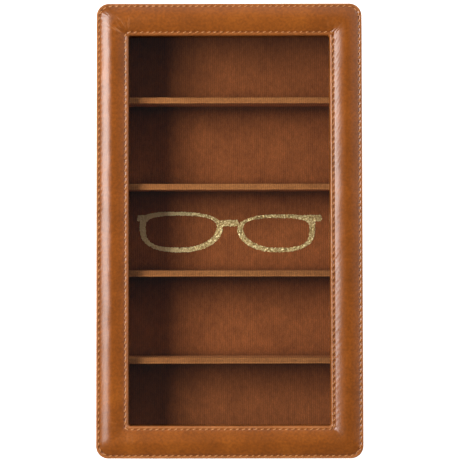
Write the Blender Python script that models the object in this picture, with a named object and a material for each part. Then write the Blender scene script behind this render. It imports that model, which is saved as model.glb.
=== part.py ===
"""Glass-topped leather box that stores five pairs of eyeglasses.

Metres, +Z up. The origin is under the middle of the box, on the surface it stands on. The lid is hinged along
the left side (-X) and is lifted from the right side (+X). The back end is +Y. The lid is shut.
"""

import math

import bmesh
import bpy
from mathutils import Matrix, Vector

MM = 0.001
GAP = 0.3 * MM

# Outside of the box. The lid stands out past the base all round.
LID_WIDTH = 185 * MM
LID_LENGTH = 316 * MM
LID_CORNER = 8.7 * MM
LID_OVERHANG = 1.3 * MM
LID_BORDER = 22.6 * MM
RIM_HEIGHT = 52 * MM
LID_BOTTOM = 52.4 * MM
LID_EDGE_HEIGHT = 64 * MM
CROWN_RISE = 2.6 * MM

# Sheets and boards
LEATHER = 1.0 * MM
SUEDE = 0.8 * MM
DIVIDER_SUEDE = 0.7 * MM
FELT = 0.8 * MM
GLASS = 3 * MM
GLASS_SEAL = 0.4 * MM
WALL_BOARD = 4.5 * MM
BASE_BOARD = 3.7 * MM
FLOOR_LINING = 2 * MM
FOIL = 0.3 * MM
TURN_IN = 12 * MM
LEATHER_EASING = 0.6 * MM
TOP_EASING = 0.4 * MM
PADDING_MARGIN = 1.4 * MM
FELT_MARGIN = 3.2 * MM

# Stitch lines on the lid, measured in from the lid's edge
OUTER_STITCH = 2.0 * MM
INNER_STITCH = LID_BORDER - 2.5 * MM
STITCH_SINK = 0.2 * MM
BESIDE_STITCH = 0.6 * MM
THREAD_WIDTH = 0.7 * MM
THREAD_HEIGHT = 0.4 * MM

# Compartments
COMPARTMENTS = 5
DIVIDER = 4.4 * MM
DIVIDER_TOP = 50.5 * MM

# Glass rebate in the lid rails
REBATE_DEPTH = 3.6 * MM
RAIL_TOP = 62.5 * MM

# Hinges
HINGE_PLACES = {"front": -95 * MM, "back": 95 * MM}
HINGE_LENGTH = 40 * MM
MIDDLE_KNUCKLE = 13.2 * MM
KNUCKLE_GAP = 0.2 * MM
KNUCKLE_RADIUS = 1.25 * MM
PIN_RADIUS = 0.6 * MM
PIN_CLEARANCE = 0.1 * MM
PIN_HEAD_RADIUS = 1.0 * MM
PIN_HEAD = 0.5 * MM
MORTISE_CLEARANCE = 0.15 * MM
MORTISE_REACH = 2.6 * MM
LEAF = 0.8 * MM
LEAF_REACH = 5.6 * MM
LEAF_START = 0.6 * MM
SCREW_REACH = 3.6 * MM
SCREW_SPREAD = 13 * MM
SCREW_HEAD_RADIUS = 1.4 * MM
SCREW_SHANK_RADIUS = 0.7 * MM
SCREW_LENGTH = 6 * MM
SCREW_TIP_RADIUS = 0.15 * MM
SLOT_WIDTH = 0.4 * MM
SLOT_DEPTH = 0.3 * MM

# Closing magnets and their steel keepers
MAGNET_PLACES = {"front": -60 * MM, "back": 60 * MM}
MAGNET_SIZE = Vector((2.6, 14, 3)) * MM
KEEPER_SIZE = Vector((5, 16, 1)) * MM
MAGNET_GAP = 0.1 * MM

# Spectacles sign on the middle floor
# Spans are (half width, rise, drop) from a lens's widest line. Fullness is given for the upper outer,
# upper nose, lower outer and lower nose quarters: 2 is an ellipse, and more is squarer
SIGN_RIM_SPAN = Vector((29.8, 10.7, 18.3)) * MM
SIGN_RIM_FULLNESS = (3.6, 2.1, 2.6, 2.1)
SIGN_HOLE_SPAN = Vector((25.4, 8.0, 14.9)) * MM
SIGN_HOLE_FULLNESS = (3.0, 2.5, 3.2, 2.0)
SIGN_LENSES = {
    -1: {"middle": Vector((-34.5, 2.9)) * MM, "scale": 1.0},
    1: {"middle": Vector((33.6, 1.7)) * MM, "scale": 0.935},
}
SIGN_BAR_STROKE = 4.5 * MM
SIGN_BRIDGE_REACH = 6.6 * MM
SIGN_BRIDGE_HEIGHT = 5.5 * MM
SIGN_TEMPLE_REACH = 66.1 * MM
SIGN_TEMPLE_LENGTH = 14 * MM
SIGN_TEMPLE_HEIGHT = 8.9 * MM

# Faceting
CORNER_STEPS = 6
CROWN_STEPS = 12
ROUND_SIDES = 20
LENS_SIDES = 44
SHARP_CORNER = 0.5 * MM
GLASS_CORNER = 1.0 * MM
SAME_PLACE = 1e-7

# Worked out from the above
LID_HALF = Vector((LID_WIDTH, LID_LENGTH)) / 2
BASE_HALF = LID_HALF - Vector((LID_OVERHANG, LID_OVERHANG))
BASE_CORNER = LID_CORNER - LID_OVERHANG
BOARD_INSET = LEATHER + GAP
WALL_INNER_INSET = BOARD_INSET + WALL_BOARD
LINING_INSET = WALL_INNER_INSET + GAP
CAVITY_INSET = LINING_INSET + SUEDE
CAVITY_HALF = BASE_HALF - Vector((CAVITY_INSET, CAVITY_INSET))
BOARD_BOTTOM = FELT + LEATHER + 2 * GAP
FLOOR_LOW = BOARD_BOTTOM + BASE_BOARD + GAP
FLOOR_TOP = FLOOR_LOW + FLOOR_LINING
WALL_TOP = RIM_HEIGHT - LEATHER - GAP
HINGE_AXIS = Vector((-BASE_HALF.x, 0, (RIM_HEIGHT + LID_BOTTOM) / 2))
LEAF_NEAR = HINGE_AXIS.z - RIM_HEIGHT + LEATHER - LEAF
RAIL_BOTTOM = LID_BOTTOM + LEATHER + GAP
WINDOW_INSET = LID_BORDER - BOARD_INSET
GLASS_TOP = RAIL_BOTTOM + GLASS
PITCH = (2 * CAVITY_HALF.y + DIVIDER) / COMPARTMENTS

# Colours as seen, with roughness and metallic value
FINISHES = {
    "leather": ((142, 78, 34), 0.42, 0.0),
    "lining_suede": ((128, 75, 44), 0.9, 0.0),
    "divider_suede": ((157, 103, 65), 0.9, 0.0),
    "thread": ((178, 124, 82), 0.6, 0.0),
    "glass": ((235, 238, 236), 0.03, 0.0),
    "fibreboard": ((168, 136, 98), 0.8, 0.0),
    "foam": ((226, 220, 200), 0.9, 0.0),
    "felt": ((70, 46, 34), 0.95, 0.0),
    "foil": ((196, 166, 120), 0.35, 1.0),
    "brass": ((190, 155, 90), 0.3, 1.0),
    "steel": ((176, 178, 180), 0.35, 1.0),
    "magnet": ((150, 152, 156), 0.25, 1.0),
}


def clear_scene():
    """Remove what the file starts with."""
    for item in list(bpy.data.objects):
        bpy.data.objects.remove(item)


def linear(channel):
    """Linear value of one 0 to 255 colour channel as seen."""
    value = channel / 255
    return value / 12.92 if value <= 0.04045 else ((value + 0.055) / 1.055) ** 2.4


def finish(name):
    """The material of that name, made the first time it is asked for."""
    material = bpy.data.materials.get(name)
    if material:
        return material
    seen, roughness, metallic = FINISHES[name]
    material = bpy.data.materials.new(name)
    material.use_nodes = True
    shader = material.node_tree.nodes["Principled BSDF"]
    shader.inputs["Base Color"].default_value = [*map(linear, seen), 1]
    shader.inputs["Roughness"].default_value = roughness
    shader.inputs["Metallic"].default_value = metallic
    return material


def add_object(name, mesh, at=(0, 0, 0)):
    """Turn a bmesh, drawn round the point at, into an object whose origin is that point."""
    bmesh.ops.recalc_face_normals(mesh, faces=mesh.faces)
    data = bpy.data.meshes.new(name)
    mesh.to_mesh(data)
    mesh.free()
    made = bpy.data.objects.new(name, data)
    made.location = at
    bpy.context.scene.collection.objects.link(made)
    return made


def add_part(name, mesh, finish_name, parent=None, at=(0, 0, 0)):
    """Add one visible part. A part of the lid has the hinge axis as its parent."""
    part = add_object(name, mesh, at)
    part.data.materials.append(finish(finish_name))
    if parent:
        part.parent = parent
        part.matrix_parent_inverse = Matrix.Translation(-parent.location)
    return part


def add_cutter(name, mesh, at=(0, 0, 0)):
    """Add a hidden shape that other parts are cut or joined with."""
    cutter = add_object(name, mesh, at)
    cutter.hide_render = True
    cutter.display_type = "WIRE"
    return cutter


def combine(part, other, operation="DIFFERENCE"):
    """Cut a part with a hidden shape, or join it to one."""
    modifier = part.modifiers.new(other.name, "BOOLEAN")
    modifier.operation = operation
    modifier.solver = "EXACT"
    modifier.object = other


def rounded_loop(half, corner, height):
    """Points round a rectangle with round corners, at one height."""
    points = []
    for quarter, (side_x, side_y) in enumerate(((1, 1), (-1, 1), (-1, -1), (1, -1))):
        centre = Vector((side_x * (half.x - corner), side_y * (half.y - corner), height))
        for step in range(CORNER_STEPS + 1):
            angle = (quarter + step / CORNER_STEPS) * math.pi / 2
            points.append(centre + corner * Vector((math.cos(angle), math.sin(angle), 0)))
    return points


def skin(mesh, loops, closed):
    """Join point loops with faces: into a ring if closed, or into a capped solid."""
    rows = [[mesh.verts.new(point) for point in loop] for loop in loops]
    pairs = list(zip(rows, rows[1:]))
    if closed:
        pairs.append((rows[-1], rows[0]))
    for here, there in pairs:
        for index, corner in enumerate(here):
            after = (index + 1) % len(here)
            mesh.faces.new((corner, here[after], there[after], there[index]))
    if not closed:
        mesh.faces.new(rows[0])
        mesh.faces.new(rows[-1])
    return mesh


def ring_mesh(section, half, corner):
    """Ring round the box. The section's (inset, height) points go once round its cut face."""
    loops = []
    for inset, height in section:
        size = half - Vector((inset, inset))
        loops.append(rounded_loop(size, max(corner - inset, SHARP_CORNER), height))
    return skin(bmesh.new(), loops, closed=True)


def plate_mesh(half, corner, low, high):
    """Flat plate with round corners."""
    loops = [rounded_loop(half, corner, height) for height in (low, high)]
    return skin(bmesh.new(), loops, closed=False)


def box_mesh(low, high):
    """Box between two corners."""
    mesh = bmesh.new()
    size = Vector(high) - Vector(low)
    middle = (Vector(high) + Vector(low)) / 2
    bmesh.ops.create_cube(mesh, size=1, matrix=Matrix.Translation(middle) @ Matrix.Diagonal((*size, 1)))
    return mesh


def turned_mesh(profile, mesh=None, at=(0, 0, 0), along="Z"):
    """Solid turned from (radius, distance) points along an axis, added to mesh if one is given."""
    turn = Matrix() if along == "Z" else Matrix.Rotation(-math.pi / 2, 4, "X")
    loops = []
    for radius, distance in profile:
        angles = [2 * math.pi * side / ROUND_SIDES for side in range(ROUND_SIDES)]
        loops.append([
            Vector(at) + turn @ Vector((radius * math.cos(angle), radius * math.sin(angle), distance))
            for angle in angles
        ])
    return skin(mesh or bmesh.new(), loops, closed=False)


def cut_mitre(mesh, point, normal):
    """Keep what lies behind a plane, and close the cut."""
    everything = mesh.verts[:] + mesh.edges[:] + mesh.faces[:]
    bmesh.ops.bisect_plane(
        mesh, geom=everything, dist=SAME_PLACE, plane_co=point, plane_no=normal, clear_outer=True)
    open_edges = [edge for edge in mesh.edges if edge.is_boundary]
    bmesh.ops.holes_fill(mesh, edges=open_edges, sides=0)


def mitred_bars(name, section, half, corner, finish_name, parent=None):
    """The four bars of a ring, mitred at its corners."""
    inner = half - Vector((LID_BORDER, LID_BORDER))
    bars = {}
    for side, out in (("left", (-1, 0)), ("right", (1, 0)), ("front", (0, -1)), ("back", (0, 1))):
        outward = Vector((*out, 0))
        along = Vector((-outward.y, outward.x, 0))
        mesh = ring_mesh(section, half, corner)
        for end in (-1, 1):
            toward = outward + end * along
            mitre_corner = Vector((toward.x * inner.x, toward.y * inner.y, 0))
            normal = (end * along - outward).normalized()
            cut_mitre(mesh, mitre_corner - normal * GAP / 2, normal)
        bars[side] = add_part(f"{name}_{side}", mesh, finish_name, parent)
    return bars


def crown(inset):
    """Rise of the padded leather between the two stitch lines, an arc across the border."""
    half = (INNER_STITCH - OUTER_STITCH) / 2
    radius = (half ** 2 + CROWN_RISE ** 2) / (2 * CROWN_RISE)
    offset = inset - (INNER_STITCH + OUTER_STITCH) / 2
    return math.sqrt(radius ** 2 - offset ** 2) - (radius - CROWN_RISE)


def crown_points(start, end, level):
    """Points along the crown from one inset to another, standing on a level."""
    points = []
    for step in range(CROWN_STEPS + 1):
        inset = start + (end - start) * step / CROWN_STEPS
        points.append((inset, level + crown(inset)))
    return points


def build_base():
    """Floor, walls and leather of the base. Returns the pieces that fittings are let into."""
    add_part("underside_felt", plate_mesh(
        BASE_HALF - Vector((FELT_MARGIN, FELT_MARGIN)), BASE_CORNER - FELT_MARGIN, 0, FELT), "felt")
    board_half = BASE_HALF - Vector((BOARD_INSET, BOARD_INSET))
    board_corner = BASE_CORNER - BOARD_INSET
    add_part("base_board", plate_mesh(
        board_half, board_corner, BOARD_BOTTOM, BOARD_BOTTOM + BASE_BOARD), "fibreboard")
    wall = [(BOARD_INSET, FLOOR_LOW), (BOARD_INSET, WALL_TOP), (WALL_INNER_INSET, WALL_TOP),
            (WALL_INNER_INSET, FLOOR_LOW)]
    walls = mitred_bars("wall_board", wall, BASE_HALF, BASE_CORNER, "fibreboard")
    lining = [(LINING_INSET, FLOOR_LOW), (LINING_INSET, WALL_TOP), (CAVITY_INSET, WALL_TOP),
              (CAVITY_INSET, FLOOR_LOW)]
    mitred_bars("wall_lining", lining, BASE_HALF, BASE_CORNER, "lining_suede")
    floor_half = CAVITY_HALF - Vector((GAP, GAP))
    add_part("floor_lining", plate_mesh(floor_half, SHARP_CORNER, FLOOR_LOW, FLOOR_TOP), "lining_suede")
    leather = add_part(
        "base_side_leather", ring_mesh(base_leather_section(), BASE_HALF, BASE_CORNER), "leather")
    return {"walls": walls, "leather": leather}


def base_leather_section():
    """Leather turned in under the base board, up the wall and in over the rim."""
    low = FELT + GAP
    return [
        (TURN_IN, low),
        (LEATHER_EASING, low),
        (0, low + LEATHER_EASING),
        (0, RIM_HEIGHT - LEATHER_EASING),
        (LEATHER_EASING, RIM_HEIGHT),
        (CAVITY_INSET, RIM_HEIGHT),
        (CAVITY_INSET, RIM_HEIGHT - LEATHER),
        (LEATHER, RIM_HEIGHT - LEATHER),
        (LEATHER, low + LEATHER),
        (TURN_IN, low + LEATHER),
    ]


def build_dividers():
    """Four stiff boards, each with suede wrapped over it."""
    half_x = CAVITY_HALF.x - GAP
    low = FLOOR_TOP + GAP
    core = DIVIDER / 2 - DIVIDER_SUEDE - GAP
    core_top = DIVIDER_TOP - DIVIDER_SUEDE - GAP
    for number in range(1, COMPARTMENTS):
        middle = Vector((0, (number - COMPARTMENTS / 2) * PITCH, 0))
        board = box_mesh((-half_x, -core, low), (half_x, core, core_top))
        add_part(f"divider_{number}_board", board, "fibreboard", at=middle)
        outline = [
            (-DIVIDER / 2, low), (-DIVIDER / 2, DIVIDER_TOP), (DIVIDER / 2, DIVIDER_TOP), (DIVIDER / 2, low),
            (core + GAP, low), (core + GAP, core_top + GAP),
            (-core - GAP, core_top + GAP), (-core - GAP, low),
        ]
        ends = [[Vector((x, y, z)) for y, z in outline] for x in (-half_x, half_x)]
        suede = skin(bmesh.new(), ends, closed=False)
        add_part(f"divider_{number}_suede", suede, "divider_suede", at=middle)


def lens_plate(side, span, fullness, low, high):
    """Plate in the shape of a lens, in four quarters that meet on its widest line and at its middle."""
    middle = SIGN_LENSES[side]["middle"]
    size = span * SIGN_LENSES[side]["scale"]
    loops = []
    for height in (low, high):
        loop = []
        for step in range(LENS_SIDES):
            angle = 2 * math.pi * step / LENS_SIDES
            out = math.cos(angle)
            up = math.sin(angle)
            power = fullness[(0 if up > 0 else 2) + (0 if out > 0 else 1)]
            reach = (abs(out) ** power + abs(up) ** power) ** (-1 / power)
            tall = size.y if up > 0 else size.z
            offset = Vector((side * out * size.x, up * tall)) * reach
            loop.append(Vector((*(middle + offset), height)))
        loops.append(loop)
    return skin(bmesh.new(), loops, closed=False)


def sign_bars(low, high):
    """The bridge and the two temples' hinge ends of the sign."""
    half_stroke = SIGN_BAR_STROKE / 2
    temple_start = SIGN_TEMPLE_REACH - SIGN_TEMPLE_LENGTH
    return {
        name: box_mesh((start, middle - half_stroke, low), (end, middle + half_stroke, high))
        for name, start, end, middle in (
            ("bridge", -SIGN_BRIDGE_REACH, SIGN_BRIDGE_REACH, SIGN_BRIDGE_HEIGHT),
            ("left_temple", -SIGN_TEMPLE_REACH, -temple_start, SIGN_TEMPLE_HEIGHT),
            ("right_temple", temple_start, SIGN_TEMPLE_REACH, SIGN_TEMPLE_HEIGHT),
        )
    }


def build_sign():
    """Gold foil sign in the shape of a pair of spectacles, with its lens openings cut out last."""
    low = FLOOR_TOP + GAP
    high = low + FOIL
    left_rim = lens_plate(-1, SIGN_RIM_SPAN, SIGN_RIM_FULLNESS, low, high)
    right_rim = lens_plate(1, SIGN_RIM_SPAN, SIGN_RIM_FULLNESS, low, high)
    sign = add_part("foil_spectacles", left_rim, "foil")
    combine(sign, add_cutter("sign_right_rim", right_rim), "UNION")
    for name, bar in sign_bars(low, high).items():
        combine(sign, add_cutter("sign_" + name, bar), "UNION")
    for side, name in ((-1, "left"), (1, "right")):
        hole = lens_plate(side, SIGN_HOLE_SPAN, SIGN_HOLE_FULLNESS, low - GAP, high + GAP)
        combine(sign, add_cutter(f"sign_{name}_lens", hole))


def build_lid(axis):
    """Frame, padding, leather and glass of the lid. Returns the pieces that fittings are let into."""
    rail = [(BOARD_INSET, RAIL_BOTTOM), (BOARD_INSET, RAIL_TOP), (WINDOW_INSET, RAIL_TOP),
            (WINDOW_INSET, GLASS_TOP + GAP), (WINDOW_INSET - REBATE_DEPTH, GLASS_TOP + GAP),
            (WINDOW_INSET - REBATE_DEPTH, RAIL_BOTTOM)]
    rails = mitred_bars("lid_rail", rail, LID_HALF, LID_CORNER, "fibreboard", axis)
    glass_inset = WINDOW_INSET - REBATE_DEPTH + GAP
    glass_half = LID_HALF - Vector((glass_inset, glass_inset))
    add_part("glass_pane", plate_mesh(glass_half, GLASS_CORNER, RAIL_BOTTOM, GLASS_TOP), "glass", axis)
    under = [(BOARD_INSET, LID_BOTTOM), (BOARD_INSET, LID_BOTTOM + LEATHER),
             (WINDOW_INSET, LID_BOTTOM + LEATHER), (WINDOW_INSET, LID_BOTTOM)]
    under_lining = add_part(
        "lid_under_lining", ring_mesh(under, LID_HALF, LID_CORNER), "lining_suede", axis)
    side_leather = add_part(
        "lid_side_leather", ring_mesh(lid_side_section(), LID_HALF, LID_CORNER), "leather", axis)
    add_part("lid_top_leather", ring_mesh(lid_top_section(), LID_HALF, LID_CORNER), "leather", axis)
    add_part("lid_padding", ring_mesh(padding_section(), LID_HALF, LID_CORNER), "foam", axis)
    for name, inset in (("outer_stitching", OUTER_STITCH), ("inner_stitching", INNER_STITCH)):
        add_part(name, ring_mesh(thread_section(inset), LID_HALF, LID_CORNER), "thread", axis)
    return {"rails": rails, "under_lining": under_lining, "side_leather": side_leather}


def lid_side_section():
    """Strip up the lid's sides. Its eased lower edge clears the base as the lid opens."""
    top = LID_EDGE_HEIGHT - LEATHER - GAP
    return [(LEATHER_EASING, LID_BOTTOM), (0, LID_BOTTOM + LEATHER_EASING), (0, top), (LEATHER, top),
            (LEATHER, LID_BOTTOM)]


def lid_top_section():
    """Leather from the lid's edge over the crown and down to the glass, and back along its underside."""
    seam = LID_EDGE_HEIGHT - STITCH_SINK
    under = seam - LEATHER
    low = GLASS_TOP + GLASS_SEAL
    return [
        (0, LID_EDGE_HEIGHT - LEATHER),
        (0, LID_EDGE_HEIGHT - TOP_EASING),
        (TOP_EASING, LID_EDGE_HEIGHT),
        (OUTER_STITCH - BESIDE_STITCH, LID_EDGE_HEIGHT),
        *crown_points(OUTER_STITCH, INNER_STITCH, seam),
        (INNER_STITCH + BESIDE_STITCH, LID_EDGE_HEIGHT),
        (LID_BORDER - TOP_EASING, LID_EDGE_HEIGHT),
        (LID_BORDER, LID_EDGE_HEIGHT - TOP_EASING),
        (LID_BORDER, low),
        (LID_BORDER - LEATHER, low),
        (LID_BORDER - LEATHER, under),
        *crown_points(INNER_STITCH, OUTER_STITCH, under),
        (OUTER_STITCH - BESIDE_STITCH, LID_EDGE_HEIGHT - LEATHER),
    ]


def padding_section():
    """Foam that fills the crown: flat below and domed above."""
    low = LID_EDGE_HEIGHT - STITCH_SINK - LEATHER
    start = OUTER_STITCH + PADDING_MARGIN
    end = INNER_STITCH - PADDING_MARGIN
    return [(start, low), *crown_points(start, end, low - GAP), (end, low)]


def thread_section(inset):
    """Cut face of one row of stitching, laid just above the leather."""
    low = LID_EDGE_HEIGHT + GAP
    half = THREAD_WIDTH / 2
    high = low + THREAD_HEIGHT
    return [(inset - half, low), (inset - half, high), (inset + half, high), (inset + half, low)]


def knuckle_spans(clearance):
    """Where the lid's middle knuckle and the base's two outer knuckles lie along a hinge."""
    middle = MIDDLE_KNUCKLE / 2 + clearance
    outer = MIDDLE_KNUCKLE / 2 + KNUCKLE_GAP - clearance
    end = HINGE_LENGTH / 2 + clearance
    return {"lid": [(-middle, middle)], "base": [(-end, -outer), (outer, end)]}


def knuckle_mesh(spans, radius):
    """Round knuckles along a hinge's axis."""
    mesh = bmesh.new()
    for start, end in spans:
        turned_mesh([(radius, start), (radius, end)], mesh, along="Y")
    return mesh


def screw_places(up):
    """Middle of each screw head on a leaf, which is above the axis if up is 1 and below if it is -1."""
    return [Vector((SCREW_REACH, spot, up * LEAF_NEAR)) for spot in (-SCREW_SPREAD, SCREW_SPREAD)]


def countersink(extra):
    """Head and start of the shank of a screw pointing down from its head, grown by a clearance."""
    return [
        (SCREW_SHANK_RADIUS + extra, -LEAF - GAP),
        (SCREW_SHANK_RADIUS + extra, -LEAF),
        (SCREW_HEAD_RADIUS + extra, 0),
        (SCREW_HEAD_RADIUS + extra, GAP),
    ]


def flipped(profile, up):
    """A profile as it is under the axis, or mirrored for the leaf above it."""
    return [(radius, -up * distance) for radius, distance in profile]


def build_leaf(name, owner, centre, parent):
    """One leaf of a hinge: plate, knuckles, bore for the pin and countersunk holes."""
    up = 1 if owner == "lid" else -1
    other = "base" if owner == "lid" else "lid"
    low, high = sorted((up * LEAF_NEAR, up * (LEAF_NEAR + LEAF)))
    half = HINGE_LENGTH / 2
    plate = box_mesh((LEAF_START, -half, low), (LEAF_REACH, half, high))
    leaf = add_part(name, plate, "brass", parent, centre)
    own_knuckles = knuckle_mesh(knuckle_spans(0)[owner], KNUCKLE_RADIUS)
    combine(leaf, add_cutter(name + "_knuckles", own_knuckles, centre), "UNION")
    cuts = knuckle_mesh(knuckle_spans(KNUCKLE_GAP)[other], KNUCKLE_RADIUS + KNUCKLE_GAP)
    combine(leaf, add_cutter(name + "_room", cuts, centre))
    bore = PIN_RADIUS + PIN_CLEARANCE
    holes = turned_mesh([(bore, -HINGE_LENGTH), (bore, HINGE_LENGTH)], along="Y")
    for place in screw_places(up):
        turned_mesh(flipped(countersink(KNUCKLE_GAP), up), holes, place)
    combine(leaf, add_cutter(name + "_holes", holes, centre))


def build_screw(name, place, up, parent):
    """Countersunk wood screw with a slotted head."""
    profile = [
        (SCREW_TIP_RADIUS, -SCREW_LENGTH),
        (SCREW_SHANK_RADIUS, -SCREW_LENGTH + 2 * SCREW_SHANK_RADIUS),
        (SCREW_SHANK_RADIUS, -LEAF),
        (SCREW_HEAD_RADIUS, 0),
    ]
    screw = add_part(name, turned_mesh(flipped(profile, up)), "brass", parent, place)
    depth = sorted((up * SLOT_DEPTH, -up * SLOT_DEPTH))
    reach = 2 * SCREW_HEAD_RADIUS
    slot = box_mesh((-SLOT_WIDTH / 2, -reach, depth[0]), (SLOT_WIDTH / 2, reach, depth[1]))
    combine(screw, add_cutter(name + "_slot", slot, place))


def build_hinge(where, base, lid, axis):
    """One butt hinge with its pin, its screws and the room that the boards and leathers leave for it."""
    centre = HINGE_AXIS + Vector((0, HINGE_PLACES[where], 0))
    name = f"hinge_{where}"
    half_room = HINGE_LENGTH / 2 + 2 * PIN_HEAD
    height = KNUCKLE_RADIUS + MORTISE_CLEARANCE
    mortise = add_cutter(name + "_mortise", box_mesh(
        (-MORTISE_REACH, -half_room, -height), (LEAF_REACH + GAP, half_room, height)), centre)
    for piece in (base["leather"], lid["side_leather"], lid["under_lining"]):
        combine(piece, mortise)
    for owner, up, wood, parent in (
        ("base", -1, base["walls"]["left"], None),
        ("lid", 1, lid["rails"]["left"], axis),
    ):
        build_leaf(f"{name}_{owner}_leaf", owner, centre, parent)
        pilot = bmesh.new()
        hole = SCREW_SHANK_RADIUS + GAP
        for number, place in enumerate(screw_places(up), 1):
            build_screw(f"{name}_{owner}_screw_{number}", centre + place, up, parent)
            turned_mesh([(hole, 0), (hole, up * (SCREW_LENGTH + GAP))], pilot, place)
        combine(wood, add_cutter(f"{name}_{owner}_pilot_holes", pilot, centre))
    end = HINGE_LENGTH / 2 + KNUCKLE_GAP
    pin = turned_mesh([
        (PIN_HEAD_RADIUS, -end - PIN_HEAD), (PIN_HEAD_RADIUS, -end), (PIN_RADIUS, -end),
        (PIN_RADIUS, end), (PIN_HEAD_RADIUS, end), (PIN_HEAD_RADIUS, end + PIN_HEAD),
    ], along="Y")
    add_part(name + "_pin", pin, "brass", at=centre)


def build_closure(where, wall, rail, axis):
    """A magnet let into the right wall's top edge, and the steel keeper above it in the lid."""
    middle = BASE_HALF.x - BOARD_INSET - WALL_BOARD / 2
    room = Vector((GAP, GAP, GAP))
    for name, size, place, finish_name, wood, parent, up in (
        ("magnet_" + where, MAGNET_SIZE, WALL_TOP, "magnet", wall, None, -1),
        ("keeper_" + where, KEEPER_SIZE, RAIL_BOTTOM, "steel", rail, axis, 1),
    ):
        half = size / 2
        centre = Vector((middle, MAGNET_PLACES[where], place + up * (half.z + MAGNET_GAP)))
        add_part(name, box_mesh(-half, half), finish_name, parent, centre)
        pocket_low = -half - room
        pocket_high = half + room
        if up > 0:
            pocket_low.z -= GAP
        else:
            pocket_high.z += GAP
        combine(wood, add_cutter(name + "_pocket", box_mesh(pocket_low, pocket_high), centre))


def main():
    """Build the whole box."""
    clear_scene()
    axis = bpy.data.objects.new("lid_hinge_axis", None)
    axis.location = HINGE_AXIS
    bpy.context.scene.collection.objects.link(axis)
    base = build_base()
    build_dividers()
    build_sign()
    lid = build_lid(axis)
    for where in HINGE_PLACES:
        build_hinge(where, base, lid, axis)
    for where in MAGNET_PLACES:
        build_closure(where, base["walls"]["right"], lid["rails"]["right"], axis)


main()
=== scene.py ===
"""Looks of the glass-topped leather box for five pairs of eyeglasses.

Metres, +Z up, +Y towards the back end, hinges along -X. The CAD frame gives every place and size.
"""

import math

import bmesh
import bpy
import numpy as np
from mathutils import Matrix, Vector


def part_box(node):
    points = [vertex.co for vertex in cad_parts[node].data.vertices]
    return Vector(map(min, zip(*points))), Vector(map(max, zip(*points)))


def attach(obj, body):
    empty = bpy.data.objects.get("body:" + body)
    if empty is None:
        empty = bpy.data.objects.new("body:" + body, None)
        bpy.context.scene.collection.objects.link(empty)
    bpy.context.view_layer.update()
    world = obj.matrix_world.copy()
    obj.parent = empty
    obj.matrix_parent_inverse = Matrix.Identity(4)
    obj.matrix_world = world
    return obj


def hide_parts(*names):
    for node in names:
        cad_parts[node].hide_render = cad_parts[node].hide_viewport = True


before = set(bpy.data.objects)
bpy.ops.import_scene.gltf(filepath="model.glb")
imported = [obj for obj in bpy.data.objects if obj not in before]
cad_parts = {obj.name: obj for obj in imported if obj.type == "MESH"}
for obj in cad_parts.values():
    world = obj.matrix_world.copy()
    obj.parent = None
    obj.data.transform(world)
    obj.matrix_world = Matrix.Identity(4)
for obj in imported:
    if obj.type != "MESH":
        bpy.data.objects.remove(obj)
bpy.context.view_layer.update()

MM = 0.001

# Lid leather: insets from the lid's edge, its crown, and the lip that turns down past the inner stitches
STITCH_MARGIN = 2.0 * MM
EDGE_ROUND = 0.5 * MM
TOP_EASING = 0.3 * MM
CROWN_RISE = 2.28 * MM
INNER_RISE = 0.35 * MM
OUTER_CROWN_POWER = 1.9
INNER_CROWN_POWER = 1.62
THREAD_RING_HALF = 0.35 * MM
LIP_START = 0.6 * MM
LIP_END = 2.5 * MM
LIP_DROP = 1.8 * MM
OUTER_ROWS = np.arange(1.1, 3.0, 0.2) * MM
MIDDLE_ROWS = (3.1 * MM, -1.1 * MM, 26)
INNER_ROWS = np.arange(-0.9, 0.6, 0.2) * MM
UNDER_ROWS = (0.5 * MM, 7)
UNDER_CROWN = 1.25
EDGE_DEPTH = 0.99
EDGE_BENDS, LIP_BENDS, LIP_DOWN_ROWS = 6, 10, 5
LIP_FREE = 0.3 * MM
WINDOW_CORNER = 1.5 * MM
LID_CORNER = 8.7 * MM

# Saddle stitches
STITCH_PITCH = 4.28 * MM
STITCH_LENGTH = 2.9 * MM
THREAD_RADIUS = 0.36 * MM
THREAD_SIDES, THREAD_RINGS = 8, 9
THREAD_TAPER = 0.4
THREAD_FLATNESS = 0.8
STITCH_LIFT = 0.5 * MM
STITCH_DIP = 0.3 * MM
STITCH_SLANT = math.radians(24)
SLANT_RANGE = (0.8, 1.2)
LENGTH_RANGE = (0.92, 1.05)
LIFT_RANGE = (0.85, 1.1)
CHANNEL_DEPTH = 0.2 * MM
CHANNEL_WIDTH = 0.6 * MM
HOLE_DEPTH = 0.55 * MM
HOLE_WIDTH = 0.52 * MM
HOLE_SHEAR = 1.4
HOLE_SHARPNESS = 2.3
TIGHT_HOLE = 0.3
HOLE_GAPE = (0.7, 0.3)
# Painted shade in the stitch channels and holes
CHANNEL_SHADE = 0.06
HOLE_SHADE = 0.3
PUCKER = 0.09 * MM
PUCKER_REACH = 2.2 * MM
PUCKER_CHANGE = (0.8, 9 * MM)

# Creases over the padding: (side in x, side in y, strength) of each corner, and ranges for each crease's
# angle in degrees, start, length and width in millimetres, bend, and share of the depth
CREASE_DEPTH = 0.16 * MM
CREASE_CORNERS = ((-1, 1, 1.0), (1, 1, 0.3), (-1, -1, 0.5), (1, -1, 0.12))
CREASES_PER_CORNER = 16
CREASE_RANGES = ((-20, 110), (3.0, 7.0), (4, 11), (0.35, 0.7), (-18, 18), (0.4, 1.0))
CREASE_RIDGE = (0.5, 1.6)

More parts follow.
